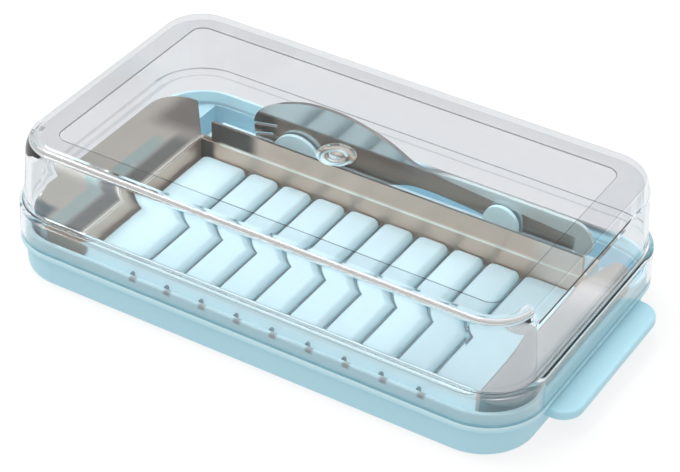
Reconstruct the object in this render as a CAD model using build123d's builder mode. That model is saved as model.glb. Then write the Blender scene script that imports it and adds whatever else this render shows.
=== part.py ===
from build123d import *
import os
from math import tan, radians

# Butter dish with wire cutter and knife. Millimetres, +Z up.
# Origin: middle of the tray's underside. X is the long way, the handle tab is at +X,
# the knife rack is at the back (+Y).

# ---- tray ----
FOOT_A, FOOT_B, FOOT_R = 88.5, 51.2, 17.5      # half length, half depth, corner radius at the table
BODY_H = 10.4                                  # drafted lower body
BODY_DRAFT = 4.4                               # degrees, outward
LIP_A, LIP_B, LIP_R = 91.0, 52.9, 19.5         # lip that the lid's skirt stands on
LIP_TOP = 12.2
DECK_TOP = 11.0
WALL = 2.1
RIM_A, RIM_B, RIM_R = 88.9, 50.8, 17.5         # upright locating rim inside the skirt
RIM_T = 1.5
RIM_TOP = 15.8

PAD_TOP = 13.5
PITCH = 12.5                                   # one slice of a 125 mm block in ten
GROOVE_X0 = 7.3                                # middle groove
GROOVE_W, GROOVE_D = 1.8, 2.3
PAD_R, PAD_EDGE = 2.2, 0.4                      # plan corners, softened top edge
SLOPE_W, SLOPE_D = 2.9, 1.3                    # each pad falls away towards +X
FIELD_X0, FIELD_X1 = -60.3, 74.9
FIELD_Y0, FIELD_Y1 = -44.5, 18.1

# ---- trough and knife rack behind the pads ----
TROUGH_X0, TROUGH_X1 = -76.0, 83.0
TROUGH_Y0, TROUGH_Y1 = 30.4, 49.3
TROUGH_FLOOR = 2.6
RACK_X0, RACK_X1 = -61.0, 75.0
RACK_Y0, RACK_Y1 = 20.9, 30.4
RACK_TOP = 19.8
SLOT_Y0, SLOT_Y1 = 25.4, 27.2
SLOT_X0, SLOT_X1 = -47.5, 10.0
SLOT_FLOOR = 17.4
TAB1_X, TAB1_R = -28.8, 9.2                    # half-round tab in front of the blade
TAB2_X, TAB2_R = 45.0, 6.0                     # taller tab in front of the handle
TAB_Y0, TAB_Y1 = 23.5, 24.9

# ---- handle tab ----
HANDLE_X1 = 98.8
HANDLE_Y = 30.6
HANDLE_Z0, HANDLE_Z1 = 6.6, 10.0

# ---- cutter frame ----
SHEET = 0.8
FR_A = 86.9                                    # half length over the outer walls
FR_FRONT = -45.8
FR_BACK = 19.4
FR_TOP = 20.5
FR_BOTTOM = 11.2
FR_R = 11.5
OPEN_X0, OPEN_X1 = -61.5, 75.5
CUT_LX, CUT_LY = -74.5, 35.5                   # back end of the wide left flange
CUT_RX, CUT_RY = 80.0, 31.0                    # back end of the narrow right flange
FENCE_TOP = 27.1
FENCE_X0 = -57.8                               # the fence starts in from the left fold
FOLD_R = 0.7                                   # turned-down ends of the opening
WIRE_Z = 12.75
WIRE_D = 0.5

# ---- knife ----
KNIFE_Y0, KNIFE_Y1 = 25.6, 27.0
KNIFE_BOTTOM = 17.5
HEEL_Z = 20.05                                # the handle's heel stands on the rack's top

# ---- lid ----
LID_T = 1.8
SKIRT_A0, SKIRT_B0, SKIRT_R0 = 91.1, 52.9, 19.6
SKIRT_TOP = 23.7
SHOULDER_R = 1.2
UP_A, UP_B, UP_R = 88.6, 51.05, 16.3           # upper wall where it leaves the skirt
UP_DRAFT = 4.0
LEAN_Z, LEAN_DRAFT = 41.75, 17.0               # above this the outside leans in further
LID_TOP = 47.2
TOP_T = 1.3                                    # thickness of the panel
TOP_FILLET, TOP_INNER = 1.3, 0.7
PANEL_A, PANEL_B, PANEL_R = 76.5, 39.6, 4.5
PANEL_D = 0.7

os.makedirs("parts", exist_ok=True)


def done(bp, name):
    bp.part.label = name
    export_step(bp.part, "parts/" + name + ".step")
    print(name, round(bp.part.volume, 1), len(bp.part.solids()))


groove_xs = [GROOVE_X0 + (i - 4) * PITCH for i in range(9)]

# one slice's pad: flat, softened at the left, falling away in a curve to the right
edges_x = [FIELD_X0] + [x + k * GROOVE_W / 2 for x in groove_xs for k in (-1, 1)] + [FIELD_X1]
pads = []
for i in range(10):
    x0, x1 = edges_x[2 * i], edges_x[2 * i + 1]
    with BuildPart() as pad:
        with BuildSketch(Plane.XZ.offset(-FIELD_Y0)):
            with BuildLine():
                Polyline((x0, PAD_TOP - PAD_EDGE), (x0, DECK_TOP), (x1, DECK_TOP), (x1, PAD_TOP - SLOPE_D))
                Spline((x1, PAD_TOP - SLOPE_D), (x1 - 0.25 * SLOPE_W, PAD_TOP - 0.52 * SLOPE_D),
                       (x1 - 0.6 * SLOPE_W, PAD_TOP - 0.14 * SLOPE_D), (x1 - SLOPE_W, PAD_TOP))
                Line((x1 - SLOPE_W, PAD_TOP), (x0 + PAD_EDGE, PAD_TOP))
                RadiusArc((x0 + PAD_EDGE, PAD_TOP), (x0, PAD_TOP - PAD_EDGE), -PAD_EDGE)
            make_face()
        extrude(amount=-(FIELD_Y1 - FIELD_Y0))
        with BuildSketch(Plane.XY.offset(DECK_TOP)):
            with Locations(((x0 + x1) / 2, (FIELD_Y0 + FIELD_Y1) / 2)):
                RectangleRounded(x1 - x0, FIELD_Y1 - FIELD_Y0, PAD_R)
        extrude(amount=PAD_TOP - DECK_TOP, mode=Mode.INTERSECT)
    pads.append(pad.part)

# =====================================================================
# base tray
# =====================================================================
with BuildPart() as base_tray:
    # drafted lower body
    with BuildSketch(Plane.XY):
        RectangleRounded(2 * FOOT_A, 2 * FOOT_B, FOOT_R)
    extrude(amount=BODY_H, taper=-BODY_DRAFT)
    foot_edges = base_tray.faces().sort_by(Axis.Z)[0].outer_wire().edges()
    fillet(foot_edges, 1.6)
    # lip for the lid's skirt
    with BuildSketch(Plane.XY.offset(BODY_H)):
        RectangleRounded(2 * LIP_A, 2 * LIP_B, LIP_R)
    extrude(amount=LIP_TOP - BODY_H)
    # upright locating rim
    with BuildSketch(Plane.XY.offset(LIP_TOP)):
        RectangleRounded(2 * RIM_A, 2 * RIM_B, RIM_R)
    extrude(amount=RIM_TOP - LIP_TOP)
    rim_edges = base_tray.faces().sort_by(Axis.Z)[-1].outer_wire().edges()
    fillet(rim_edges, 0.6)
    with BuildSketch(Plane.XY.offset(RIM_TOP)):
        RectangleRounded(2 * (RIM_A - RIM_T), 2 * (RIM_B - RIM_T), RIM_R - RIM_T)
    extrude(amount=-(RIM_TOP - DECK_TOP), mode=Mode.SUBTRACT)
    # hollow underside, below the deck
    with BuildSketch(Plane.XY):
        RectangleRounded(2 * (FOOT_A - WALL), 2 * (FOOT_B - WALL), FOOT_R - WALL)
    extrude(amount=DECK_TOP - WALL, mode=Mode.SUBTRACT)
    # ten pads, one for each slice
    with BuildSketch(Plane.XY.offset(DECK_TOP - WALL)):
        with Locations(((FIELD_X0 + FIELD_X1) / 2, (FIELD_Y0 + FIELD_Y1) / 2)):
            RectangleRounded(FIELD_X1 - FIELD_X0, FIELD_Y1 - FIELD_Y0, PAD_R)
    extrude(amount=PAD_TOP - GROOVE_D - DECK_TOP + WALL)
    for pad in pads:
        add(pad)
    # knife rack: an upright box, hollow from below
    with BuildSketch(Plane.XY):
        with Locations(((RACK_X0 + RACK_X1) / 2, (RACK_Y0 + RACK_Y1) / 2)):
            Rectangle(RACK_X1 - RACK_X0, RACK_Y1 - RACK_Y0)
    extrude(amount=RACK_TOP)
    # trough between the rack and the back rim, with its own floor
    with BuildSketch(Plane.XY):
        with Locations(((TROUGH_X0 + TROUGH_X1) / 2, (TROUGH_Y0 + TROUGH_Y1) / 2)):
            Rectangle(TROUGH_X1 - TROUGH_X0 + 2 * WALL, TROUGH_Y1 - TROUGH_Y0 + 0.1)
        RectangleRounded(2 * (FOOT_A - 0.4), 2 * (FOOT_B - 0.4), FOOT_R - 0.4, mode=Mode.INTERSECT)
    extrude(amount=DECK_TOP)
    with BuildSketch(Plane.XY.offset(DECK_TOP + 0.5)):
        with Locations(((TROUGH_X0 + TROUGH_X1) / 2, (TROUGH_Y0 + TROUGH_Y1) / 2)):
            Rectangle(TROUGH_X1 - TROUGH_X0, TROUGH_Y1 - TROUGH_Y0)
        RectangleRounded(2 * (RIM_A - RIM_T - 0.8), 2 * (RIM_B - RIM_T - 0.6), RIM_R - RIM_T - 0.4,
                         mode=Mode.INTERSECT)
    extrude(amount=-(DECK_TOP + 0.5 - TROUGH_FLOOR), taper=3, mode=Mode.SUBTRACT)
    # the rack's core from below
    with BuildSketch(Plane.XY):
        with Locations(((RACK_X0 + RACK_X1) / 2, (RACK_Y0 + RACK_Y1) / 2)):
            Rectangle(RACK_X1 - RACK_X0 - 2 * WALL, RACK_Y1 - RACK_Y0 - 2 * WALL)
    extrude(amount=SLOT_FLOOR - WALL, mode=Mode.SUBTRACT)
    # rounded top edges of the rack
    rack_top = base_tray.faces().filter_by(Axis.Z).filter_by(lambda f: abs(f.center().Z - RACK_TOP) < 0.01)
    fillet(rack_top.edges(), 1.0)
    # tabs that hold the knife
    with BuildSketch(Plane.XZ.offset(-TAB_Y0)):
        with BuildLine():
            l1 = Line((TAB1_X - TAB1_R, RACK_TOP - 1.5), (TAB1_X + TAB1_R, RACK_TOP - 1.5))
            l2 = Line(l1 @ 1, (TAB1_X + TAB1_R, RACK_TOP))
            a1 = ThreePointArc(l2 @ 1, (TAB1_X, RACK_TOP + TAB1_R), (TAB1_X - TAB1_R, RACK_TOP))
            Line(a1 @ 1, l1 @ 0)
        make_face()
        with BuildLine():
            m1 = Line((TAB2_X - TAB2_R, RACK_TOP - 1.5), (TAB2_X + TAB2_R, RACK_TOP - 1.5))
            m2 = Line(m1 @ 1, (TAB2_X + TAB2_R, RACK_TOP + 4.6))
            b1 = ThreePointArc(m2 @ 1, (TAB2_X, RACK_TOP + 4.6 + TAB2_R), (TAB2_X - TAB2_R, RACK_TOP + 4.6))
            Line(b1 @ 1, m1 @ 0)
        make_face()
    extrude(amount=-(TAB_Y1 - TAB_Y0))
    # slot for the blade's lower edge
    with BuildSketch(Plane.XY.offset(RACK_TOP + 0.2)):
        with Locations(((SLOT_X0 + SLOT_X1) / 2, (SLOT_Y0 + SLOT_Y1) / 2)):
            Rectangle(SLOT_X1 - SLOT_X0, SLOT_Y1 - SLOT_Y0)
    extrude(amount=-(RACK_TOP + 0.2 - SLOT_FLOOR), mode=Mode.SUBTRACT)
    # stiffening rib under the deck, from end to end
    with BuildSketch(Plane.XY):
        Rectangle(2 * (FOOT_A - WALL) + 1, 2.4)
    extrude(amount=DECK_TOP - WALL)
    # handle tab
    with BuildSketch(Plane.XY.offset(HANDLE_Z0)):
        with BuildLine():
            FilletPolyline((FOOT_A - 0.6, -HANDLE_Y), (HANDLE_X1, -HANDLE_Y), (HANDLE_X1, HANDLE_Y),
                           (FOOT_A - 0.6, HANDLE_Y), radius=7.0)
            Line((FOOT_A - 0.6, HANDLE_Y), (FOOT_A - 0.6, -HANDLE_Y))
        make_face()
    extrude(amount=HANDLE_Z1 - HANDLE_Z0)
    tab_edges = (base_tray.edges().filter_by(lambda e: e.center().X > LIP_A + 0.5 and
                 (abs(e.bounding_box().min.Z - HANDLE_Z0) < 0.01 and abs(e.bounding_box().max.Z - HANDLE_Z0) < 0.01
                  or abs(e.bounding_box().min.Z - HANDLE_Z1) < 0.01 and abs(e.bounding_box().max.Z - HANDLE_Z1) < 0.01)))
    fillet(tab_edges, 0.9)
done(base_tray, "base_tray")

# =====================================================================
# lid
# =====================================================================
with BuildPart() as lid_cavity:
    with BuildSketch(Plane.XY.offset(SKIRT_TOP - 3)):
        RectangleRounded(2 * (UP_A - LID_T), 2 * (UP_B - LID_T), UP_R - LID_T)
    extrude(amount=LID_TOP - PANEL_D - TOP_T - SKIRT_TOP + 3, taper=UP_DRAFT)
    fillet(lid_cavity.faces().sort_by(Axis.Z)[-1].outer_wire().edges(), TOP_INNER)

with BuildPart() as lid:
    # stepped-out skirt
    with BuildSketch(Plane.XY.offset(LIP_TOP)):
        RectangleRounded(2 * SKIRT_A0, 2 * SKIRT_B0, SKIRT_R0)
    extrude(amount=SKIRT_TOP - LIP_TOP, taper=1.5)
    fillet(lid.faces().sort_by(Axis.Z)[-1].outer_wire().edges(), SHOULDER_R)
    # upper wall and top
    with BuildSketch(Plane.XY.offset(SKIRT_TOP - 1.0)):
        RectangleRounded(2 * UP_A, 2 * UP_B, UP_R)
    extrude(amount=LEAN_Z - SKIRT_TOP + 1.0, taper=UP_DRAFT)
    lean_in = (LEAN_Z - SKIRT_TOP + 1.0) * tan(radians(UP_DRAFT))
    with BuildSketch(Plane.XY.offset(LEAN_Z)):
        RectangleRounded(2 * (UP_A - lean_in), 2 * (UP_B - lean_in), UP_R - lean_in)
    extrude(amount=LID_TOP - LEAN_Z, taper=LEAN_DRAFT)
    fillet(lid.faces().sort_by(Axis.Z)[-1].outer_wire().edges(), TOP_FILLET)
    # inside of the skirt, then inside of the upper wall
    with BuildSketch(Plane.XY.offset(LIP_TOP)):
        RectangleRounded(2 * (SKIRT_A0 - LID_T), 2 * (SKIRT_B0 - LID_T), SKIRT_R0 - LID_T)
    extrude(amount=SKIRT_TOP - LIP_TOP - LID_T, taper=1.5, mode=Mode.SUBTRACT)
    add(lid_cavity.part, mode=Mode.SUBTRACT)
    # inner panel, a shallow step on the top face
    with BuildSketch(Plane.XY.offset(LID_TOP)):
        RectangleRounded(2 * PANEL_A, 2 * PANEL_B, PANEL_R)
    extrude(amount=-PANEL_D, mode=Mode.SUBTRACT)
    # moulding-gate dimple in the middle of the panel
    with BuildSketch(Plane.XY.offset(LID_TOP - PANEL_D)):
        Circle(5.7)
    extrude(amount=-0.45, taper=20, mode=Mode.SUBTRACT)
done(lid, "lid")

# =====================================================================
# cutter frame
# =====================================================================
# One pressing: a shallow pan upside down, with its outer walls turned down all
# round. The back ends of the two flanges are cut back beside the knife rack.
OUTLINE = [(OPEN_X0 - SHEET, FR_BACK), (CUT_LX, CUT_LY), (-FR_A, CUT_LY), (-FR_A, FR_FRONT),
           (FR_A, FR_FRONT), (FR_A, CUT_RY), (CUT_RX, CUT_RY), (OPEN_X1 + SHEET, FR_BACK)]
CORNERS = [0.8, 1.2, 11.0, FR_R, FR_R, 5.2, 1.2, 0.8]


def near(p):
    return lambda v: abs(v.X - p[0]) < 0.01 and abs(v.Y - p[1]) < 0.01


with BuildPart() as cutter_frame:
    with BuildSketch(Plane.XY) as plan:
        with BuildLine():
            Polyline(*OUTLINE, close=True)
        make_face()
        for p, r in zip(OUTLINE, CORNERS):
            fillet(plan.vertices().filter_by(near(p)), r)
    extrude(amount=FR_TOP - FR_BOTTOM)
    fillet(cutter_frame.faces().sort_by(Axis.Z)[-1].outer_wire().edges(), 0.6)
    # inside of the walls
    with BuildSketch(Plane.XY):
        add(plan.sketch)
        offset(amount=-SHEET, kind=Kind.ARC, mode=Mode.REPLACE)
    extrude(amount=FR_TOP - FR_BOTTOM - SHEET, mode=Mode.SUBTRACT)
cutter_pan = cutter_frame.part.moved(Location((0, 0, FR_BOTTOM)))

with BuildPart() as cutter_frame:
    add(cutter_pan)
    # opening for the butter
    with BuildSketch(Plane.XY.offset(FR_TOP + 1)):
        with Locations(((OPEN_X0 + OPEN_X1) / 2, (FR_FRONT + FR_BACK) / 2)):
            Rectangle(OPEN_X1 - OPEN_X0, FR_BACK - FR_FRONT - 2 * SHEET)
    extrude(amount=-SHEET - 1.5, mode=Mode.SUBTRACT)
    # turned-down inner walls at both ends of the opening
    with BuildSketch(Plane.XY.offset(FR_BOTTOM)):
        with Locations((OPEN_X0 - SHEET / 2, (FR_FRONT + FR_BACK) / 2), (OPEN_X1 + SHEET / 2, (FR_FRONT + FR_BACK) / 2)):
            Rectangle(SHEET, FR_BACK - FR_FRONT - 0.4)
    extrude(amount=FR_TOP - 0.2 - FR_BOTTOM)
    folds = cutter_frame.edges().filter_by(Axis.Y).filter_by(lambda e: abs(e.center().Z - FR_TOP) < 0.01 and e.length > 50
            and (abs(e.center().X - OPEN_X0) < 0.01 or abs(e.center().X - OPEN_X1) < 0.01))
    print("folds", len(folds))
    fillet(folds, FOLD_R)
    # the back wall stands up past the flange as a fence, with a pressed bead
    with BuildSketch(Plane.XY.offset(FR_BOTTOM)):
        with Locations(((OPEN_X0 + OPEN_X1) / 2, FR_BACK - SHEET / 2)):
            Rectangle(OPEN_X1 - OPEN_X0 + 2 * SHEET - 0.6, SHEET + 0.12)
    extrude(amount=FENCE_TOP - FR_BOTTOM)
    with BuildSketch(Plane.XY.offset(FR_TOP)):
        with Locations(((OPEN_X0 - 3 + FENCE_X0) / 2, FR_BACK - SHEET / 2)):
            Rectangle(FENCE_X0 - OPEN_X0 + 3, 2)
    extrude(amount=FENCE_TOP, mode=Mode.SUBTRACT)
    with BuildSketch(Plane.XY.offset(FR_TOP - 0.95)):
        with Locations(((OPEN_X0 + OPEN_X1) / 2, FR_BACK - SHEET - 0.1)):
            Rectangle(OPEN_X1 - OPEN_X0 - 0.4, 0.5)
    extrude(amount=0.8)
    # holes for the wires, front and back
    with BuildSketch(Plane.XZ.offset(-FR_BACK - 1)):
        with Locations(*[(x, WIRE_Z) for x in groove_xs]):
            Circle(WIRE_D / 2)
    extrude(amount=FR_BACK - FR_FRONT + 2, mode=Mode.SUBTRACT)
done(cutter_frame, "cutter_frame")

# =====================================================================
# cutting wires and their crimped ends
# =====================================================================
for i, x in enumerate(groove_xs):
    with BuildPart() as wire:
        with BuildSketch(Plane.XZ.offset(-(FR_BACK + 0.9))):
            with Locations((x, WIRE_Z)):
                Circle(WIRE_D / 2)
        extrude(amount=FR_BACK - FR_FRONT + 1.8)
    done(wire, "cutting_wire_%d" % (i + 1))

CR_H, CR_W, CR_T = 3.0, 1.3, 0.9               # a crimped hook: height, width, thickness
with BuildPart() as front_wire_crimps:
    with BuildSketch(Plane.XZ.offset(-(FR_FRONT - CR_T))):
        with Locations(*[(x, WIRE_Z) for x in groove_xs]):
            SlotOverall(CR_H, CR_W, rotation=90)
            Circle(WIRE_D / 2, mode=Mode.SUBTRACT)
    extrude(amount=-CR_T)
done(front_wire_crimps, "front_wire_crimps")

with BuildPart() as rear_wire_crimps:
    with BuildSketch(Plane.XZ.offset(-(FR_BACK + 0.06))):
        with Locations(*[(x, WIRE_Z) for x in groove_xs]):
            SlotOverall(CR_H, CR_W, rotation=90)
            Circle(WIRE_D / 2, mode=Mode.SUBTRACT)
    extrude(amount=-CR_T)
done(rear_wire_crimps, "rear_wire_crimps")

# =====================================================================
# butter knife, standing on edge
# =====================================================================
with BuildPart() as butter_knife:
    with BuildSketch(Plane.XZ.offset(-KNIFE_Y0)):
        with BuildLine():
            s1 = Line((-45.2, KNIFE_BOTTOM + 3.2), (-46.0, 27.6))
            s2 = Spline((-46.0, 27.6), (-45.4, 30.6), (-43.6, 33.2), (-40.5, 35.4), (-36.7, 37.6), (-33.0, 39.1),
                        (-28.0, 40.7), (-23.0, 41.5), (-17.0, 41.7), (-11.5, 41.4), (-6.0, 40.4), (-1.0, 39.1),
                        (3.8, 37.5), (8.0, 35.5), (11.5, 33.7), (14.5, 32.7), (18.5, 32.4), (23.0, 32.9),
                        (28.0, 33.3), (34.0, 33.4))
            s3 = Line((34.0, 33.4), (68.5, 33.2))
            s4 = ThreePointArc((68.5, 33.2), (73.6, 31.0), (75.6, 26.4))
            s5 = Spline((75.6, 26.4), (75.0, 24.1), (73.3, 22.2), (70.4, 20.9), (66.5, 20.2), (62.5, HEEL_Z),
                        (58.5, 20.2), (54.0, 21.0), (48.0, 22.3), (40.0, 23.7), (32.0, 24.6), (25.0, 25.2),
                        (18.0, 25.4), (12.5, 24.9), (7.5, 23.4), (3.0, 21.6), (-2.5, 19.8), (-9.0, 18.4),
                        (-17.0, KNIFE_BOTTOM))
            s8 = Line((-17.0, KNIFE_BOTTOM), (-41.7, KNIFE_BOTTOM))
            s9 = ThreePointArc((-41.7, KNIFE_BOTTOM), (-44.1, KNIFE_BOTTOM + 1.0), (-45.2, KNIFE_BOTTOM + 3.2))
        make_face()
        # the two slits that make the three prongs
        with Locations((-42.2, 28.1)):
            SlotOverall(10.5, 1.1, rotation=11, mode=Mode.SUBTRACT)
        with Locations((-42.6, 24.4)):
            SlotOverall(8.6, 1.1, rotation=16, mode=Mode.SUBTRACT)
    extrude(amount=-(KNIFE_Y1 - KNIFE_Y0))
done(butter_knife, "butter_knife")
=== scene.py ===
import math
import bpy
from mathutils import Vector, Matrix, Quaternion
from mathutils.geometry import delaunay_2d_cdt


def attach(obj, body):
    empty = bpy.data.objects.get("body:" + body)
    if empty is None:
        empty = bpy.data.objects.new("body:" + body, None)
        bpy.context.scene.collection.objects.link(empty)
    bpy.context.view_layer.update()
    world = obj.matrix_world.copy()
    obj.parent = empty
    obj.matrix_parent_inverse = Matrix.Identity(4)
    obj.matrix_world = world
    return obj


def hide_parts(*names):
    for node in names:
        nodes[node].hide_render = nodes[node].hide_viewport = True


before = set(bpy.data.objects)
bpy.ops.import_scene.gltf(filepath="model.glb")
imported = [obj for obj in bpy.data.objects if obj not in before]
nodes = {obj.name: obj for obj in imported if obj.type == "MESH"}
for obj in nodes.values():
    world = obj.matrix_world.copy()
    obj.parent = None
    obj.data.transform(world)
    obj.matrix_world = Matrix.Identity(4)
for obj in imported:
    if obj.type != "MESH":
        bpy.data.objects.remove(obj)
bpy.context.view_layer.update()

MM = 0.001
scene = bpy.context.scene


# ---------------------------------------------------------------- mesh helpers
def make_obj(name, verts, faces, corner_normals=None, smooth=True):
    me = bpy.data.meshes.new(name)
    me.from_pydata([(x * MM, y * MM, z * MM) for x, y, z in verts], [], faces)
    me.update()
    for p in me.polygons:
        p.use_smooth = smooth
    if corner_normals is not None:
        me.normals_split_custom_set(corner_normals)
    ob = bpy.data.objects.new(name, me)
    scene.collection.objects.link(ob)
    return ob


def plan(a, b, r, k=20):
    """Rounded rectangle: points and outward normals, the same count for every size."""
    pts, nrm = [], []
    for q, (cx, cy) in enumerate(((a - r, b - r), (-(a - r), b - r), (-(a - r), -(b - r)), (a - r, -(b - r)))):
        for i in range(k + 1):
            t = math.pi / 2 * (q + i / k)
            c, s = math.cos(t), math.sin(t)
            pts.append((cx + r * c, cy + r * s))
            nrm.append((c, s))
    return pts, nrm


def ring(a, b, r, z, lo, hi=None, k=20):
    """One ring of a loft. lo and hi are the surface's tilt in degrees (0 faces out, 90 up)
    as seen by the strip before and the strip after the ring."""
    if hi is None:
        hi = lo
    pts, nrm = plan(a, b, max(r, 0.05), k)
    vs = [(x, y, z) for x, y in pts]

    def tilt(d):
        c, s = math.cos(math.radians(d)), math.sin(math.radians(d))
        return [(nx * c, ny * c, s) for nx, ny in nrm]
    return vs, tilt(lo), tilt(hi)


def loft(name, rings, cap_first=None, cap_last=None, flip=False):
    """Strips of quads between rings, with exact normals at every corner."""
    n = len(rings[0][0])
    verts, faces, normals = [], [], []
    for vs, lo, hi in rings:
        verts.extend(vs)
    for j in range(len(rings) - 1):
        for i in range(n):
            i2 = (i + 1) % n
            f = [j * n + i, j * n + i2, (j + 1) * n + i2, (j + 1) * n + i]
            m = [rings[j][2][i], rings[j][2][i2], rings[j + 1][1][i2], rings[j + 1][1][i]]
            if flip:
                f.reverse()
                m.reverse()
            faces.append(f)
            normals.extend(m)
    for j, cap in ((0, cap_first), (len(rings) - 1, cap_last)):
        if cap is not None:
            f = [j * n + i for i in range(n)]
            if (j == 0) != flip:
                f.reverse()
            faces.append(f)
            normals.extend([cap] * n)
    return make_obj(name, verts, faces, normals)


def arc(a, b, r, z, rad, t0, t1, steps, base=0.0):
    """Rings round a fillet: a, b, r and z are where its centre line's outside would be at tilt 0."""
    out = []
    for i in range(steps + 1):
        t = t0 + (t1 - t0) * i / steps
        c, s = math.cos(math.radians(t)), math.sin(math.radians(t))
        d = rad * (1 - c)
        out.append((a - d, b - d, r - d, z + rad * s, t))
    return out


# ---------------------------------------------------------------- materials
def new_mat(name):
    m = bpy.data.materials.new(name)
    m.use_nodes = True
    nt = m.node_tree
    for nd in list(nt.nodes):
        nt.nodes.remove(nd)
    out = nt.nodes.new("ShaderNodeOutputMaterial")
    p = nt.nodes.new("ShaderNodeBsdfPrincipled")
    nt.links.new(p.outputs["BSDF"], out.inputs["Surface"])
    return m, nt, p


def obj_coords(nt, scale=(1, 1, 1), rot=(0, 0, 0)):
    tc = nt.nodes.new("ShaderNodeTexCoord")
    mp = nt.nodes.new("ShaderNodeMapping")
    mp.inputs["Scale"].default_value = scale
    mp.inputs["Rotation"].default_value = rot
    nt.links.new(tc.outputs["Object"], mp.inputs["Vector"])
    return mp.outputs["Vector"]


def noise(nt, vec, scale, detail=3.0, rough=0.5):
    n = nt.nodes.new("ShaderNodeTexNoise")
    n.inputs["Scale"].default_value = scale
    n.inputs["Detail"].default_value = detail
    n.inputs["Roughness"].default_value = rough
    nt.links.new(vec, n.inputs["Vector"])
    return n.outputs["Fac"]


def ramp(nt, fac, stops):
    r = nt.nodes.new("ShaderNodeValToRGB")
    while len(r.color_ramp.elements) > 1:
        r.color_ramp.elements.remove(r.color_ramp.elements[-1])
    r.color_ramp.elements[0].position = stops[0][0]
    r.color_ramp.elements[0].color = stops[0][1]
    for pos, col in stops[1:]:
        e = r.color_ramp.elements.new(pos)
        e.color = col
    nt.links.new(fac, r.inputs["Fac"])
    return r.outputs["Color"]


def rng(nt, fac, lo, hi):
    m = nt.nodes.new("ShaderNodeMapRange")
    m.inputs["To Min"].default_value = lo
    m.inputs["To Max"].default_value = hi
    nt.links.new(fac, m.inputs["Value"])
    return m.outputs["Result"]


def bump(nt, fac, strength, dist):
    b = nt.nodes.new("ShaderNodeBump")
    b.inputs["Strength"].default_value = strength
    b.inputs["Distance"].default_value = dist
    nt.links.new(fac, b.inputs["Height"])
    return b.outputs["Normal"]


def num(nt, op, a, b=None):
    m = nt.nodes.new("ShaderNodeMath")
    m.operation = op
    for i, v in enumerate((a, b)):
        if v is None:
            continue
        if isinstance(v, (int, float)):
            m.inputs[i].default_value = v
        else:
            nt.links.new(v, m.inputs[i])
    return m.outputs[0]


def prod(nt, *vals):
    out = vals[0]
    for v in vals[1:]:
        out = num(nt, "MULTIPLY", out, v)
    return out


def step(nt, val, e0, e1):
    """0 up to e0, 1 from e1 on, smooth between them."""
    m = nt.nodes.new("ShaderNodeMapRange")
    m.interpolation_type = "SMOOTHSTEP"
    m.inputs["From Min"].default_value = e0
    m.inputs["From Max"].default_value = e1
    nt.links.new(val, m.inputs["Value"])
    return m.outputs["Result"]


def mixc(nt, fac, a, b):
    m = nt.nodes.new("ShaderNodeMix")
    m.data_type = "RGBA"
    nt.links.new(fac, m.inputs[0])
    for i, v in ((6, a), (7, b)):
        if isinstance(v, tuple):
            m.inputs[i].default_value = v
        else:
            nt.links.new(v, m.inputs[i])
    return m.outputs[2]


def mixf(nt, fac, a, b):
    m = nt.nodes.new("ShaderNodeMix")
    nt.links.new(fac, m.inputs[0])
    for i, v in ((2, a), (3, b)):
        if isinstance(v, (int, float)):
            m.inputs[i].default_value = v
        else:
            nt.links.new(v, m.inputs[i])
    return m.outputs[0]


def xyz(nt, vec):
    sp = nt.nodes.new("ShaderNodeSeparateXYZ")
    nt.links.new(vec, sp.inputs[0])
    return sp.outputs[0], sp.outputs[1], sp.outputs[2]


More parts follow.
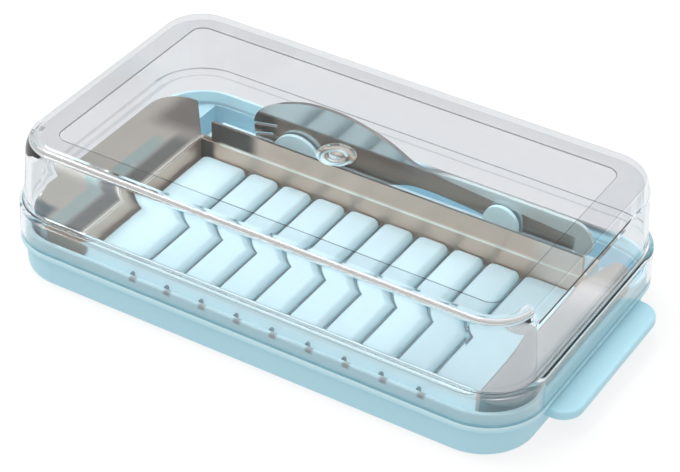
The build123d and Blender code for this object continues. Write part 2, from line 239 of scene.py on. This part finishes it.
def tray_plastic():
    m, nt, p = new_mat("tray_polypropylene")
    v = obj_coords(nt)
    broad = noise(nt, v, 18.0, 2.0)
    # painted shade: below 10.6 mm, on the tray's sideways-facing outside, the colour is darker and more saturated
    # than inside
    outside = ramp(nt, broad, [(0.3, (0.390, 0.650, 0.750, 1)), (0.7, (0.410, 0.668, 0.765, 1))])
    inside = ramp(nt, broad, [(0.3, (0.515, 0.700, 0.755, 1)), (0.7, (0.535, 0.720, 0.775, 1))])
    x, y, z = xyz(nt, v)
    tc = nt.nodes.new("ShaderNodeTexCoord")
    nx, ny, nz = xyz(nt, tc.outputs["Normal"])
    col = mixc(nt, step(nt, z, 0.0106, 0.0118), outside, inside)
    field = prod(nt, step(nt, x, -0.0603, -0.0600), step(nt, x, 0.0750, 0.0746), step(nt, y, -0.0447, -0.0444),
                 step(nt, y, 0.0183, 0.0180), step(nt, z, 0.0106, 0.0108))
    # painted light and shade: the pad field is painted darker at its right end and lighter at its left end
    col = mixc(nt, prod(nt, field, step(nt, x, 0.036, 0.050)), col, (0.445, 0.605, 0.650, 1))
    col = mixc(nt, prod(nt, field, step(nt, x, -0.046, -0.050)), col, (0.575, 0.780, 0.840, 1))
    # painted reflection: the back rim, seen past the knife, is painted the grey of the lid's wall it mirrors
    backrim_reflection = prod(nt, step(nt, y, 0.0440, 0.0450), step(nt, x, 0.000, 0.010), step(nt, x, 0.078, 0.066), step(nt, z, 0.0135, 0.0150),
                   step(nt, ny, 0.60, 0.30))
    col = mixc(nt, backrim_reflection, col, (0.28, 0.30, 0.31, 1))
    # painted reflection and shadow of the wires' crimped ends, as dark patches on the rim next to them
    t = num(nt, "MULTIPLY", num(nt, "SUBTRACT", x, -0.03970), 80.0)
    off = num(nt, "ABSOLUTE", num(nt, "SUBTRACT", num(nt, "FRACT", num(nt, "ADD", t, 0.5)), 0.5))
    crimp_shade_patch = prod(nt, step(nt, off, 0.140, 0.04), step(nt, t, -0.4, -0.3), step(nt, t, 8.4, 8.3),
                 step(nt, y, -0.0488, -0.0490), step(nt, z, 0.0142, 0.0150))
    col = mixc(nt, crimp_shade_patch, col, (0.38, 0.45, 0.475, 1))
    # painted shade on the pads' right-hand slopes, picked by their normal
    slope_shade = prod(nt, field, step(nt, nx, 0.04, 0.35), step(nt, nz, 0.2, 0.6))
    col = mixc(nt, slope_shade, col, (0.40, 0.57, 0.62, 1))
    # painted shade down in the grooves between the pads
    groove_shade = prod(nt, field, step(nt, z, 0.0129, 0.0123))
    col = mixc(nt, groove_shade, col, (0.28, 0.50, 0.56, 1))
    nt.links.new(col, p.inputs["Base Color"])
    # painted light: the rim, between the lid's skirt and the cutting frame, is made to glow faintly as if lit from
    # both sides; the tall tabs glow as well
    px = num(nt, "MAXIMUM", num(nt, "SUBTRACT", num(nt, "ABSOLUTE", x), 0.0714), 0.0)
    py = num(nt, "MAXIMUM", num(nt, "SUBTRACT", num(nt, "ABSOLUTE", y), 0.0333), 0.0)
    rad = num(nt, "SQRT", num(nt, "ADD", num(nt, "MULTIPLY", px, px), num(nt, "MULTIPLY", py, py)))
    rim = prod(nt, step(nt, rad, 0.0155, 0.0160), step(nt, z, 0.0119, 0.0123), num(nt, "SUBTRACT", 1.0, backrim_reflection),
               num(nt, "SUBTRACT", 1.0, crimp_shade_patch))
    p.inputs["Emission Color"].default_value = (0.55, 0.92, 1.0, 1)
    tab_glow = prod(nt, step(nt, z, 0.0212, 0.0222), step(nt, y, 0.0150, 0.0160))
    nt.links.new(num(nt, "ADD", num(nt, "MULTIPLY", rim, 0.24), num(nt, "MULTIPLY", tab_glow, 0.20)), p.inputs["Emission Strength"])
    fine = noise(nt, v, 2600.0, 3.0)
    nt.links.new(rng(nt, fine, 0.34, 0.44), p.inputs["Roughness"])
    nt.links.new(bump(nt, fine, 0.12, 0.0001), p.inputs["Normal"])
    p.inputs["IOR"].default_value = 1.49
    p.inputs["Subsurface Weight"].default_value = 0.12
    p.inputs["Subsurface Radius"].default_value = (0.003, 0.005, 0.006)
    p.inputs["Subsurface Scale"].default_value = 0.4
    return m


def clear_plastic(name, face, rim):
    """Clear styrene. The tint deepens where the wall is seen edge on."""
    m, nt, p = new_mat(name)
    lw = nt.nodes.new("ShaderNodeLayerWeight")
    lw.inputs["Blend"].default_value = 0.5
    nt.links.new(ramp(nt, lw.outputs["Facing"], [(0.0, face), (0.66, face), (0.97, rim)]), p.inputs["Base Color"])
    p.inputs["Transmission Weight"].default_value = 1.0
    p.inputs["IOR"].default_value = 1.52
    v = obj_coords(nt)
    wave = noise(nt, v, 38.0, 1.0)
    nt.links.new(rng(nt, wave, 0.0, 0.012), p.inputs["Roughness"])
    nt.links.new(bump(nt, wave, 0.10, 0.0006), p.inputs["Normal"])
    return m


def clear_wall(name, face, rim, gloss=0.8):
    """The same styrene where its wall is thin and straight: light goes through unbent,
    and a smooth coat gives the gloss."""
    m, nt, p = new_mat(name)
    lw = nt.nodes.new("ShaderNodeLayerWeight")
    lw.inputs["Blend"].default_value = 0.5
    col = ramp(nt, lw.outputs["Facing"], [(0.0, face), (0.60, face), (0.95, rim)])
    tc = nt.nodes.new("ShaderNodeTexCoord")
    z = xyz(nt, tc.outputs["Object"])[2]
    col = mixc(nt, step(nt, z, 0.0466, 0.0470), col, (0.70, 0.71, 0.73, 1))
    nt.links.new(col, p.inputs["Base Color"])
    p.inputs["Transmission Weight"].default_value = 1.0
    p.inputs["IOR"].default_value = 1.0
    p.inputs["Coat Weight"].default_value = gloss
    p.inputs["Coat IOR"].default_value = 1.45
    v = obj_coords(nt)
    wave = noise(nt, v, 38.0, 1.0)
    nt.links.new(rng(nt, wave, 0.0, 0.01), p.inputs["Roughness"])
    nt.links.new(bump(nt, wave, 0.10, 0.0006), p.inputs["Normal"])
    return m


def steel(name, col, r0, r1, along=(1, 60, 60), bump_s=0.05):
    m, nt, p = new_mat(name)
    p.inputs["Metallic"].default_value = 1.0
    v = obj_coords(nt, along)
    lines = noise(nt, v, 60.0, 4.0, 0.6)
    v2 = obj_coords(nt)
    cloud = noise(nt, v2, 30.0, 2.0)
    a = [c * 0.95 for c in col] + [1]
    b = [min(1, c * 1.04) for c in col] + [1]
    nt.links.new(ramp(nt, cloud, [(0.3, a), (0.7, b)]), p.inputs["Base Color"])
    nt.links.new(rng(nt, lines, r0, r1), p.inputs["Roughness"])
    nt.links.new(bump(nt, lines, bump_s, 0.00005), p.inputs["Normal"])
    return m


def frame_steel():
    """Rolled sheet: bright on the flanges, satin on the upright walls. The tone changes with the place:
    painted reflections of the lid's edges and the tray, with some painted shade, stand in for what the mirror-like
    sheet picks up."""
    m, nt, p = new_mat("frame_stainless")
    tc = nt.nodes.new("ShaderNodeTexCoord")
    x, y, z = xyz(nt, tc.outputs["Object"])
    nx, ny, nz = xyz(nt, tc.outputs["Normal"])
    up = step(nt, num(nt, "ABSOLUTE", nz), 0.35, 0.75)
    top = prod(nt, up, step(nt, z, 0.0200, 0.0203))
    cloud = noise(nt, obj_coords(nt), 34.0, 2.0)
    col = ramp(nt, cloud, [(0.3, (0.80, 0.785, 0.73, 1)), (0.7, (0.85, 0.835, 0.78, 1))])
    # painted reflection: the upright walls get a darker warm tone, lighter towards the right end
    wallc = ramp(nt, cloud, [(0.3, (0.67, 0.485, 0.385, 1)), (0.7, (0.73, 0.535, 0.425, 1))])
    wallc = mixc(nt, step(nt, x, 0.056, 0.067), wallc, (0.86, 0.72, 0.64, 1))
    col = mixc(nt, up, wallc, col)
    # painted shade: the top of the front wall along the opening is painted dark blue-grey, with a rougher finish
    lip = prod(nt, top, step(nt, y, -0.0440, -0.0446), step(nt, x, -0.0625, -0.0610), step(nt, x, 0.0765, 0.0750))
    col = mixc(nt, lip, col, (0.36, 0.45, 0.48, 1))
    # painted reflection: the right flange is painted dark at the front and bright towards the back, with a rougher
    # finish
    right = prod(nt, top, step(nt, x, 0.0740, 0.0775))
    rightc = mixc(nt, step(nt, y, -0.006, 0.026), (0.48, 0.50, 0.51, 1), (1.0, 0.95, 0.93, 1))
    col = mixc(nt, right, col, rightc)
    # painted reflection: the lid's long left edge, as a greenish and a dark band painted on the wide flange
    front_part = step(nt, y, 0.014, 0.005)
    teal = prod(nt, top, step(nt, x, -0.0750, -0.0742), step(nt, x, -0.0672, -0.0702), front_part)
    dark = prod(nt, top, step(nt, x, -0.0705, -0.0672), step(nt, x, -0.0620, -0.0638), step(nt, y, 0.020, 0.010))
    col = mixc(nt, teal, col, (0.62, 0.79, 0.80, 1))
    col = mixc(nt, dark, col, (0.27, 0.29, 0.295, 1))
    # painted reflection: a dark patch on the left flange towards the back
    corner = prod(nt, top, step(nt, y, 0.012, 0.023), step(nt, x, -0.0840, -0.0760))
    col = mixc(nt, corner, col, (0.30, 0.28, 0.27, 1))
    # painted reflection: dark patches on the fence's left end
    upright = num(nt, "SUBTRACT", 1.0, up)
    back = step(nt, y, 0.0178, 0.0182)
    fence_dark_reflection = num(nt, "MAXIMUM", prod(nt, back, step(nt, z, 0.0198, 0.0204), step(nt, x, -0.0385, -0.0440), upright),
               prod(nt, back, step(nt, z, 0.0196, 0.0190), step(nt, x, -0.0555, -0.0580), upright))
    col = mixc(nt, fence_dark_reflection, col, (0.055, 0.055, 0.05, 1))
    # the bead and the turned edges catch the light
    bead = prod(nt, back, step(nt, z, 0.0191, 0.0194), step(nt, z, 0.0206, 0.0203), step(nt, x, -0.0560, -0.0530))
    fold = prod(nt, step(nt, x, -0.0622, -0.0616), step(nt, x, -0.0606, -0.0612), step(nt, z, 0.0196, 0.0199))
    lit = num(nt, "MAXIMUM", bead, fold)
    col = mixc(nt, lit, col, (0.98, 0.93, 0.84, 1))
    # painted reflection: a dark teal patch on the flange's left front corner
    fcorner = prod(nt, top, step(nt, x, -0.0740, -0.0780), step(nt, y, -0.0375, -0.0405))
    col = mixc(nt, fcorner, col, (0.16, 0.24, 0.28, 1))
    # painted reflections on the outer corners in front, in light and dark tones
    outer = prod(nt, step(nt, y, -0.030, -0.034), num(nt, "SUBTRACT", 1.0, up), step(nt, num(nt, "ABSOLUTE", num(nt, "SUBTRACT", x, 0.0005)), 0.0752, 0.0762))
    outc = mixc(nt, step(nt, x, -0.0775, -0.0800), (0.85, 0.82, 0.79, 1), (0.22, 0.30, 0.33, 1))
    outc = mixc(nt, step(nt, x, 0.0, 0.01), outc, (0.30, 0.38, 0.40, 1))
    col = mixc(nt, outer, col, outc)
    # painted reflection: the long front wall is painted pale, with two darker lines, and made to glow faintly,
    # standing in for the white table and the tray's rim it mirrors
    bow = num(nt, "MULTIPLY", num(nt, "POWER", num(nt, "SUBTRACT", z, 0.0160), 2.0), 130.0)
    xl = num(nt, "ADD", x, bow)
    pale = prod(nt, step(nt, y, -0.0447, -0.0450), step(nt, xl, -0.0605, -0.0590), step(nt, x, 0.0755, 0.0748), step(nt, nz, 0.97, 0.90))
    line = num(nt, "MAXIMUM", prod(nt, step(nt, z, 0.0198, 0.0200), step(nt, z, 0.0204, 0.0202)),
               prod(nt, step(nt, z, 0.0183, 0.0185), step(nt, z, 0.0189, 0.0187)))
    palec = mixc(nt, line, (0.80, 0.93, 0.96, 1), (0.52, 0.62, 0.64, 1))
    col = mixc(nt, pale, col, palec)
    nt.links.new(col, p.inputs["Base Color"])
    nt.links.new(mixf(nt, pale, mixf(nt, up, 0.85, 1.0), 0.0), p.inputs["Metallic"])
    p.inputs["Emission Color"].default_value = (0.78, 0.96, 1.0, 1)
    nt.links.new(num(nt, "MULTIPLY", pale, mixf(nt, line, 0.33, 0.15)), p.inputs["Emission Strength"])
    lines = noise(nt, obj_coords(nt, (1, 60, 60)), 60.0, 4.0, 0.6)
    satin = rng(nt, lines, 0.36, 0.46)
    bright = rng(nt, lines, 0.12, 0.20)
    bright = mixf(nt, num(nt, "MAXIMUM", right, lip), bright, 0.45)
    nt.links.new(mixf(nt, outer, mixf(nt, up, satin, bright), 0.15), p.inputs["Roughness"])
    nt.links.new(bump(nt, lines, 0.02, 0.00005), p.inputs["Normal"])
    return m


def set_mat(ob, m):
    ob.data.materials.clear()
    ob.data.materials.append(m)


def set_node_mat(node, m):
    ob = nodes[node]
    if not ob.material_slots:
        ob.data.materials.append(m)
    for s in ob.material_slots:
        s.material = m


M_TRAY = tray_plastic()
M_LID = clear_plastic("lid_clear_styrene", (0.800, 0.825, 0.845, 1), (0.76, 0.78, 0.80, 1))
M_WALL = clear_wall("lid_wall_styrene", (0.860, 0.866, 0.882, 1), (0.72, 0.73, 0.75, 1))
# the step line round the panel is tinted dark: painted shade standing in for the dark line its refraction shows
M_EDGE = clear_wall("lid_step_line", (0.10, 0.105, 0.12, 1), (0.08, 0.085, 0.10, 1), 0.3)
# the shoulder and top rounds at the back and sides are tinted grey: painted shade standing in for the grey border a
# refracting round shows
M_RIM = clear_wall("lid_round_styrene", (0.52, 0.53, 0.56, 1), (0.46, 0.47, 0.50, 1))
# the foot is tinted blue: painted reflection of the blue tray behind it
M_FOOT = clear_wall("lid_foot_styrene", (0.42, 0.62, 0.68, 1), (0.34, 0.54, 0.60, 1), 0.2)
M_SHEET = frame_steel()
# the wires and crimps are painted dark: painted shade, so the wires read as the dark grooves they lie in
M_WIRE = steel("wire_stainless", (0.32, 0.36, 0.38), 0.30, 0.40)
M_KNIFE = steel("knife_stainless", (0.50, 0.495, 0.485), 0.08, 0.14)


def knife_painted_reflection(m):
    """Painted reflection: the flat handle is painted light above a sloping line, for the lid's back wall it
    mirrors, and dark below it.
    """
    nt = m.node_tree
    p = [n for n in nt.nodes if n.type == "BSDF_PRINCIPLED"][0]
    tc = nt.nodes.new("ShaderNodeTexCoord")
    x, y, z = xyz(nt, tc.outputs["Object"])
    col = p.inputs["Base Color"].links[0].from_socket
    col = mixc(nt, step(nt, x, 0.000, 0.012), col, (0.43, 0.465, 0.48, 1))
    zs = num(nt, "ADD", z, num(nt, "MULTIPLY", x, 0.09))
    light = num(nt, "MAXIMUM", prod(nt, step(nt, zs, 0.0336, 0.0342), step(nt, x, 0.014, 0.030)), step(nt, x, 0.0685, 0.0700))
    col = mixc(nt, light, col, (0.62, 0.74, 0.74, 1))
    nt.links.new(col, p.inputs["Base Color"])
    nt.links.new(mixf(nt, light, 1.0, 0.25), p.inputs["Metallic"])


knife_painted_reflection(M_KNIFE)

set_node_mat("base_tray", M_TRAY)
set_node_mat("cutter_frame", M_SHEET)
set_node_mat("butter_knife", M_KNIFE)
for i in range(9):
    set_node_mat("cutting_wire_%d" % (i + 1), M_WIRE)
set_node_mat("front_wire_crimps", M_WIRE)
set_node_mat("rear_wire_crimps", M_WIRE)

# ---------------------------------------------------------------- lid
# The clear cover, as one closed skin with exact normals: its inside from the middle
# outwards and down, the skirt's foot, then its outside up to the gate dimple.
SK_A, SK_B, SK_R = 91.1, 52.9, 19.6        # skirt at its foot
UP_A, UP_B, UP_R = 88.6, 51.05, 16.3       # upper wall where it meets the skirt
Z_FOOT, Z_SH, Z_TOP = 12.22, 23.7, 47.2
T = 1.8
DR_S, DR_U = 1.5, 4.0                      # drafts, degrees


def wall(a, b, r, z0, z, draft):
    d = (z - z0) * math.tan(math.radians(draft))
    return a - d, b - d, r - d


rings = []


def add(a, b, r, z, lo, hi=None):
    rings.append(ring(a, b, r, z, lo, hi))


# inside, seen from within: tilts point into the cavity, so they are the outside's turned round
def add_in(a, b, r, z, lo, hi=None):
    if hi is None:
        hi = lo
    vs, l, h = ring(a, b, r, z, lo, hi)
    rings.append((vs, [tuple(-c for c in n) for n in l], [tuple(-c for c in n) for n in h]))


def circle_ring(rad, z, n_lo, n_hi):
    k = 20
    vs = []
    for q in range(4):
        for i in range(k + 1):
            t = math.pi / 2 * (q + i / (k + 1.0))
            vs.append((rad * math.cos(t), rad * math.sin(t), z))
    lo = [((v[0] / rad) * n_lo[0], (v[1] / rad) * n_lo[0], n_lo[1]) for v in vs]
    hi = [((v[0] / rad) * n_hi[0], (v[1] / rad) * n_hi[0], n_hi[1]) for v in vs]
    rings.append((vs, lo, hi))


ZI = Z_TOP - 0.7 - 1.3                       # inside of the top
IR = 0.7                                     # inside fillet
ia, ib, ir = UP_A - T, UP_B - T, UP_R - T
z_fi = ZI - IR
ca, cb, cr = wall(ia, ib, ir, Z_SH - 3.0, z_fi, DR_U)
circle_ring(0.4, ZI, (0, -1), (0, -1))
fill_in = arc(ca, cb, cr, z_fi, IR, 90, DR_U, 8)
add_in(ca - IR - 1.5, cb - IR - 1.5, cr - IR - 1.5, ZI, 90)
for a, b, r, z, t in fill_in:
    add_in(a, b, r, z, t)
inner_to = len(rings)
q = wall(ia, ib, ir, Z_SH - 3.0, 39.3, DR_U)
add_in(*q, 39.3, DR_U)
z_u = Z_SH - T                               # underside of the shoulder
a, b, r = wall(ia, ib, ir, Z_SH - 3.0, z_u + 0.5, DR_U)
add_in(a, b, r, z_u + 0.5, DR_U)
for t in (0, 30, 60, 90):                    # small concave turn out to the shoulder
    c, s = math.cos(math.radians(t)), math.sin(math.radians(t))
    vs, l, h = ring(a + 0.5 * (1 - c), b + 0.5 * (1 - c), r + 0.5 * (1 - c), z_u + 0.5 * (1 - s), 0)
    nn = [(-n[0] * c, -n[1] * c, -s) for n in plan(1, 1, 0.5)[1]]
    rings.append((vs, nn, nn))
skirt_from = len(rings)
sa, sb, sr = wall(SK_A - T, SK_B - T, SK_R - T, Z_FOOT, z_u - 0.8, DR_S)
for q in arc(sa, sb, sr, z_u - 0.8, 0.8, 90, DR_S, 5):
    add_in(*q[:4], q[4])
fa, fb, fr = SK_A - T, SK_B - T, SK_R - T
add_in(fa, fb, fr, Z_FOOT + 0.3, DR_S)
foot_from = len(rings)
for t in (0, 45, 90):                        # rounded foot, inner half
    c, s = math.cos(math.radians(t)), math.sin(math.radians(t))
    vs, _, _ = ring(fa + 0.3 * (1 - c), fb + 0.3 * (1 - c), fr + 0.3 * (1 - c), Z_FOOT + 0.3 * (1 - s), 0)
    nn = [(-n[0] * c, -n[1] * c, -s) for n in plan(1, 1, 0.5)[1]]
    rings.append((vs, nn, nn))
for t in (90, 45, 0):                        # rounded foot, outer half
    c, s = math.cos(math.radians(t)), math.sin(math.radians(t))
    vs, _, _ = ring(SK_A - 0.3 * (1 - c), SK_B - 0.3 * (1 - c), SK_R - 0.3 * (1 - c), Z_FOOT + 0.3 * (1 - s), 0)
    nn = [(n[0] * c, n[1] * c, -s) for n in plan(1, 1, 0.5)[1]]
    rings.append((vs, nn, nn))
foot_to = len(rings) - 1
RS = 1.2                                     # shoulder round
a, b, r = wall(SK_A, SK_B, SK_R, Z_FOOT, Z_SH - RS, DR_S)
shoulder_from = len(rings)
for q in arc(a, b, r, Z_SH - RS, RS, DR_S, 90, 8):
    add(*q[:4], q[4])
skirt_to = len(rings)
RC = 0.6                                     # concave turn up into the wall
wa, wb, wr = wall(UP_A, UP_B, UP_R, Z_SH - 1.0, Z_SH + RC, DR_U)
for t in (90, 60, 30, DR_U):
    c, s = math.cos(math.radians(t)), math.sin(math.radians(t))
    vs, _, _ = ring(wa + RC * (1 - c), wb + RC * (1 - c), wr + RC * (1 - c), Z_SH + RC * (1 - s), 0)
    nn = [(n[0] * c, n[1] * c, s) for n in plan(1, 1, 0.5)[1]]
    rings.append((vs, nn, nn))
RT = 1.3                                     # top round, over a wall that leans in slowly
LEAN, LEAN_R = 32.0, 10.5
lean_from = len(rings)
z_l = Z_TOP - RT * (1 - math.sin(math.radians(LEAN))) - LEAN_R * (math.sin(math.radians(LEAN)) - math.sin(math.radians(DR_U)))
a, b, r = wall(UP_A, UP_B, UP_R, Z_SH - 1.0, z_l, DR_U)
z_c = z_l - LEAN_R * math.sin(math.radians(DR_U))
off = LEAN_R * (1 - math.cos(math.radians(DR_U)))
for q in arc(a + off, b + off, r + off, z_c, LEAN_R, DR_U, LEAN, 8):
    add(*q[:4], q[4])
a, b, r = q[:3]
off = RT * (1 - math.cos(math.radians(LEAN)))
round_from = len(rings) - 1
for q in arc(a + off, b + off, r + off, Z_TOP - RT, RT, LEAN, 90, 12)[1:]:
    add(*q[:4], q[4])
add(q[0] - 1.6, q[1] - 1.6, q[2] - 1.6, Z_TOP, 90)
border_from = len(rings) - 1
PA, PB, PR = 76.5, 39.6, 4.5                 # panel
add(PA + 0.25, PB + 0.25, PR + 0.25, Z_TOP, 90)
step_from = len(rings)
for t in (90, 45, 0):                        # round over, then down the step
    c, s = math.cos(math.radians(t)), math.sin(math.radians(t))
    vs, _, _ = ring(PA + 0.25 - 0.25 * c, PB + 0.25 - 0.25 * c, PR + 0.25 - 0.25 * c, Z_TOP - 0.25 + 0.25 * s, 0)
    nn = [(-n[0] * c, -n[1] * c, s) for n in plan(1, 1, 0.5)[1]]
    rings.append((vs, nn, nn))
for t in (0, 45, 90):
    c, s = math.cos(math.radians(t)), math.sin(math.radians(t))
    vs, _, _ = ring(PA - 0.25 * (1 - c), PB - 0.25 * (1 - c), PR - 0.25 * (1 - c), Z_TOP - 0.7 + 0.25 * (1 - s), 0)
    nn = [(-n[0] * c, -n[1] * c, s) for n in plan(1, 1, 0.5)[1]]
    rings.append((vs, nn, nn))
step_to = len(rings) - 1
ZP = Z_TOP - 0.7
gate_from = len(rings)
# gate mark: a raised rim, a dished floor and a small blob in the middle
circle_ring(6.2, ZP, (0, 1), (0, 1))
circle_ring(5.9, ZP - 0.10, (-0.6, 0.8), (-0.6, 0.8))
circle_ring(5.3, ZP - 0.42, (-0.5, 0.87), (-0.3, 0.95))
circle_ring(4.2, ZP - 0.50, (0, 1), (0, 1))
circle_ring(3.0, ZP - 0.30, (0.35, 0.93), (0.35, 0.93))
circle_ring(2.0, ZP - 0.22, (0, 1), (0, 1))
circle_ring(1.2, ZP - 0.45, (-0.3, 0.95), (-0.3, 0.95))
circle_ring(0.4, ZP - 0.50, (0, 1), (0, 1))
lid = loft("lid_cover", rings, cap_first=(0, 0, -1), cap_last=(0, 0, 1))
set_mat(lid, M_LID)
lid.data.materials.append(M_EDGE)
lid.data.materials.append(M_WALL)
lid.data.materials.append(M_FOOT)
lid.data.materials.append(M_RIM)
n_ring = len(rings[0][0])
for j in range(len(rings) - 1):
    for i in range(n_ring):
        if step_from <= j < step_to:
            k = 1
        elif foot_from <= j < foot_to:
            k = 3
        elif j >= gate_from:
            k = 0
        elif j == 0 or border_from <= j < gate_from:
            k = 2
        else:
            k = 0 if i >= 42 or i < 10 else 2
            if 42 <= i < 52 and (skirt_from <= j < foot_from or foot_to <= j < skirt_to):
                k = 2
            if (i >= 83 or i < 10) and (j < inner_to or lean_from <= j < border_from):
                k = 2
            if k == 2 and not 41 <= i < 52 and (shoulder_from <= j < skirt_to or round_from <= j < border_from - 1):
                k = 4
        lid.data.polygons[j * n_ring + i].material_index = k
lid.data.polygons[len(lid.data.polygons) - 2].material_index = 2
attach(lid, "lid")
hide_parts("lid")

# ---------------------------------------------------------------- stage
floor = make_obj("floor", [(-3000, -3000, 0), (3000, -3000, 0), (3000, 3000, 0), (-3000, 3000, 0)], [[0, 1, 2, 3]], smooth=False)
mf, nt, p = new_mat("floor_white")
v = obj_coords(nt)
nt.links.new(ramp(nt, noise(nt, v, 3.0, 1.0), [(0.3, (0.145, 0.145, 0.145, 1)), (0.7, (0.155, 0.155, 0.155, 1))]), p.inputs["Base Color"])
p.inputs["Roughness"].default_value = 0.9
p.inputs["Specular IOR Level"].default_value = 0.0
p.inputs["Emission Color"].default_value = (1.0, 1.0, 1.0, 1)
p.inputs["Emission Strength"].default_value = 0.80
set_mat(floor, mf)

# ---------------------------------------------------------------- light
world = bpy.data.worlds.new("studio")
scene.world = world
world.use_nodes = True
wt = world.node_tree
for nd in list(wt.nodes):
    wt.nodes.remove(nd)
wo = wt.nodes.new("ShaderNodeOutputWorld")
bg = wt.nodes.new("ShaderNodeBackground")
tc = wt.nodes.new("ShaderNodeTexCoord")
sx = wt.nodes.new("ShaderNodeSeparateXYZ")
wt.links.new(tc.outputs["Generated"], sx.inputs[0])
r = wt.nodes.new("ShaderNodeValToRGB")
els = r.color_ramp.elements
els[0].position = 0.0
els[0].color = (0.42, 0.42, 0.42, 1)
els[1].position = 1.0
els[1].color = (1.9, 1.9, 1.92, 1)
for pos, col in ((0.25, (0.46, 0.46, 0.45, 1)), (0.50, (0.60, 0.58, 0.55, 1)), (0.68, (0.78, 0.76, 0.74, 1)), (0.80, (1.7, 1.7, 1.7, 1))):
    e = els.new(pos)
    e.color = col
wt.links.new(sx.outputs["Z"], r.inputs["Fac"])
wt.links.new(r.outputs["Color"], bg.inputs["Color"])
bg.inputs["Strength"].default_value = 1.0
wt.links.new(bg.outputs["Background"], wo.inputs["Surface"])


def area(name, loc, target, size, size_y, power, col=(1, 1, 1)):
    ld = bpy.data.lights.new(name, "AREA")
    ld.shape = "RECTANGLE"
    ld.size, ld.size_y = size, size_y
    ld.energy = power
    ld.color = col
    lo = bpy.data.objects.new(name, ld)
    scene.collection.objects.link(lo)
    lo.location = loc
    d = Vector(target) - Vector(loc)
    lo.rotation_euler = d.to_track_quat("-Z", "Y").to_euler()
    return lo


area("key_top", (-0.42, -0.02, 1.1), (0, 0, 0), 0.9, 0.8, 13.0)

# ---------------------------------------------------------------- camera
az, el, roll = math.radians(30.14), math.radians(36.09), math.radians(1.89)
back = Vector((0.4058, -0.6989, 0.5890)).normalized()
right0 = Vector((math.cos(az), math.sin(az), 0.0))
right0 = (right0 - back * right0.dot(back)).normalized()
up0 = back.cross(right0)
rr = right0 * math.cos(roll) + up0 * math.sin(roll)
uu = -right0 * math.sin(roll) + up0 * math.cos(roll)
cam_d = bpy.data.cameras.new("camera")
cam = bpy.data.objects.new("camera", cam_d)
scene.collection.objects.link(cam)
cam.matrix_world = Matrix(((rr.x, uu.x, back.x, 0.29809), (rr.y, uu.y, back.y, -0.50954), (rr.z, uu.z, back.z, 0.44642), (0, 0, 0, 1)))
cam_d.sensor_fit = "HORIZONTAL"
cam_d.sensor_width = 36.0
cam_d.lens = 2359.59 * 36.0 / 680.0
cam_d.clip_start = 0.01
cam_d.clip_end = 20.0
scene.camera = cam
scene.view_settings.view_transform = "Standard"
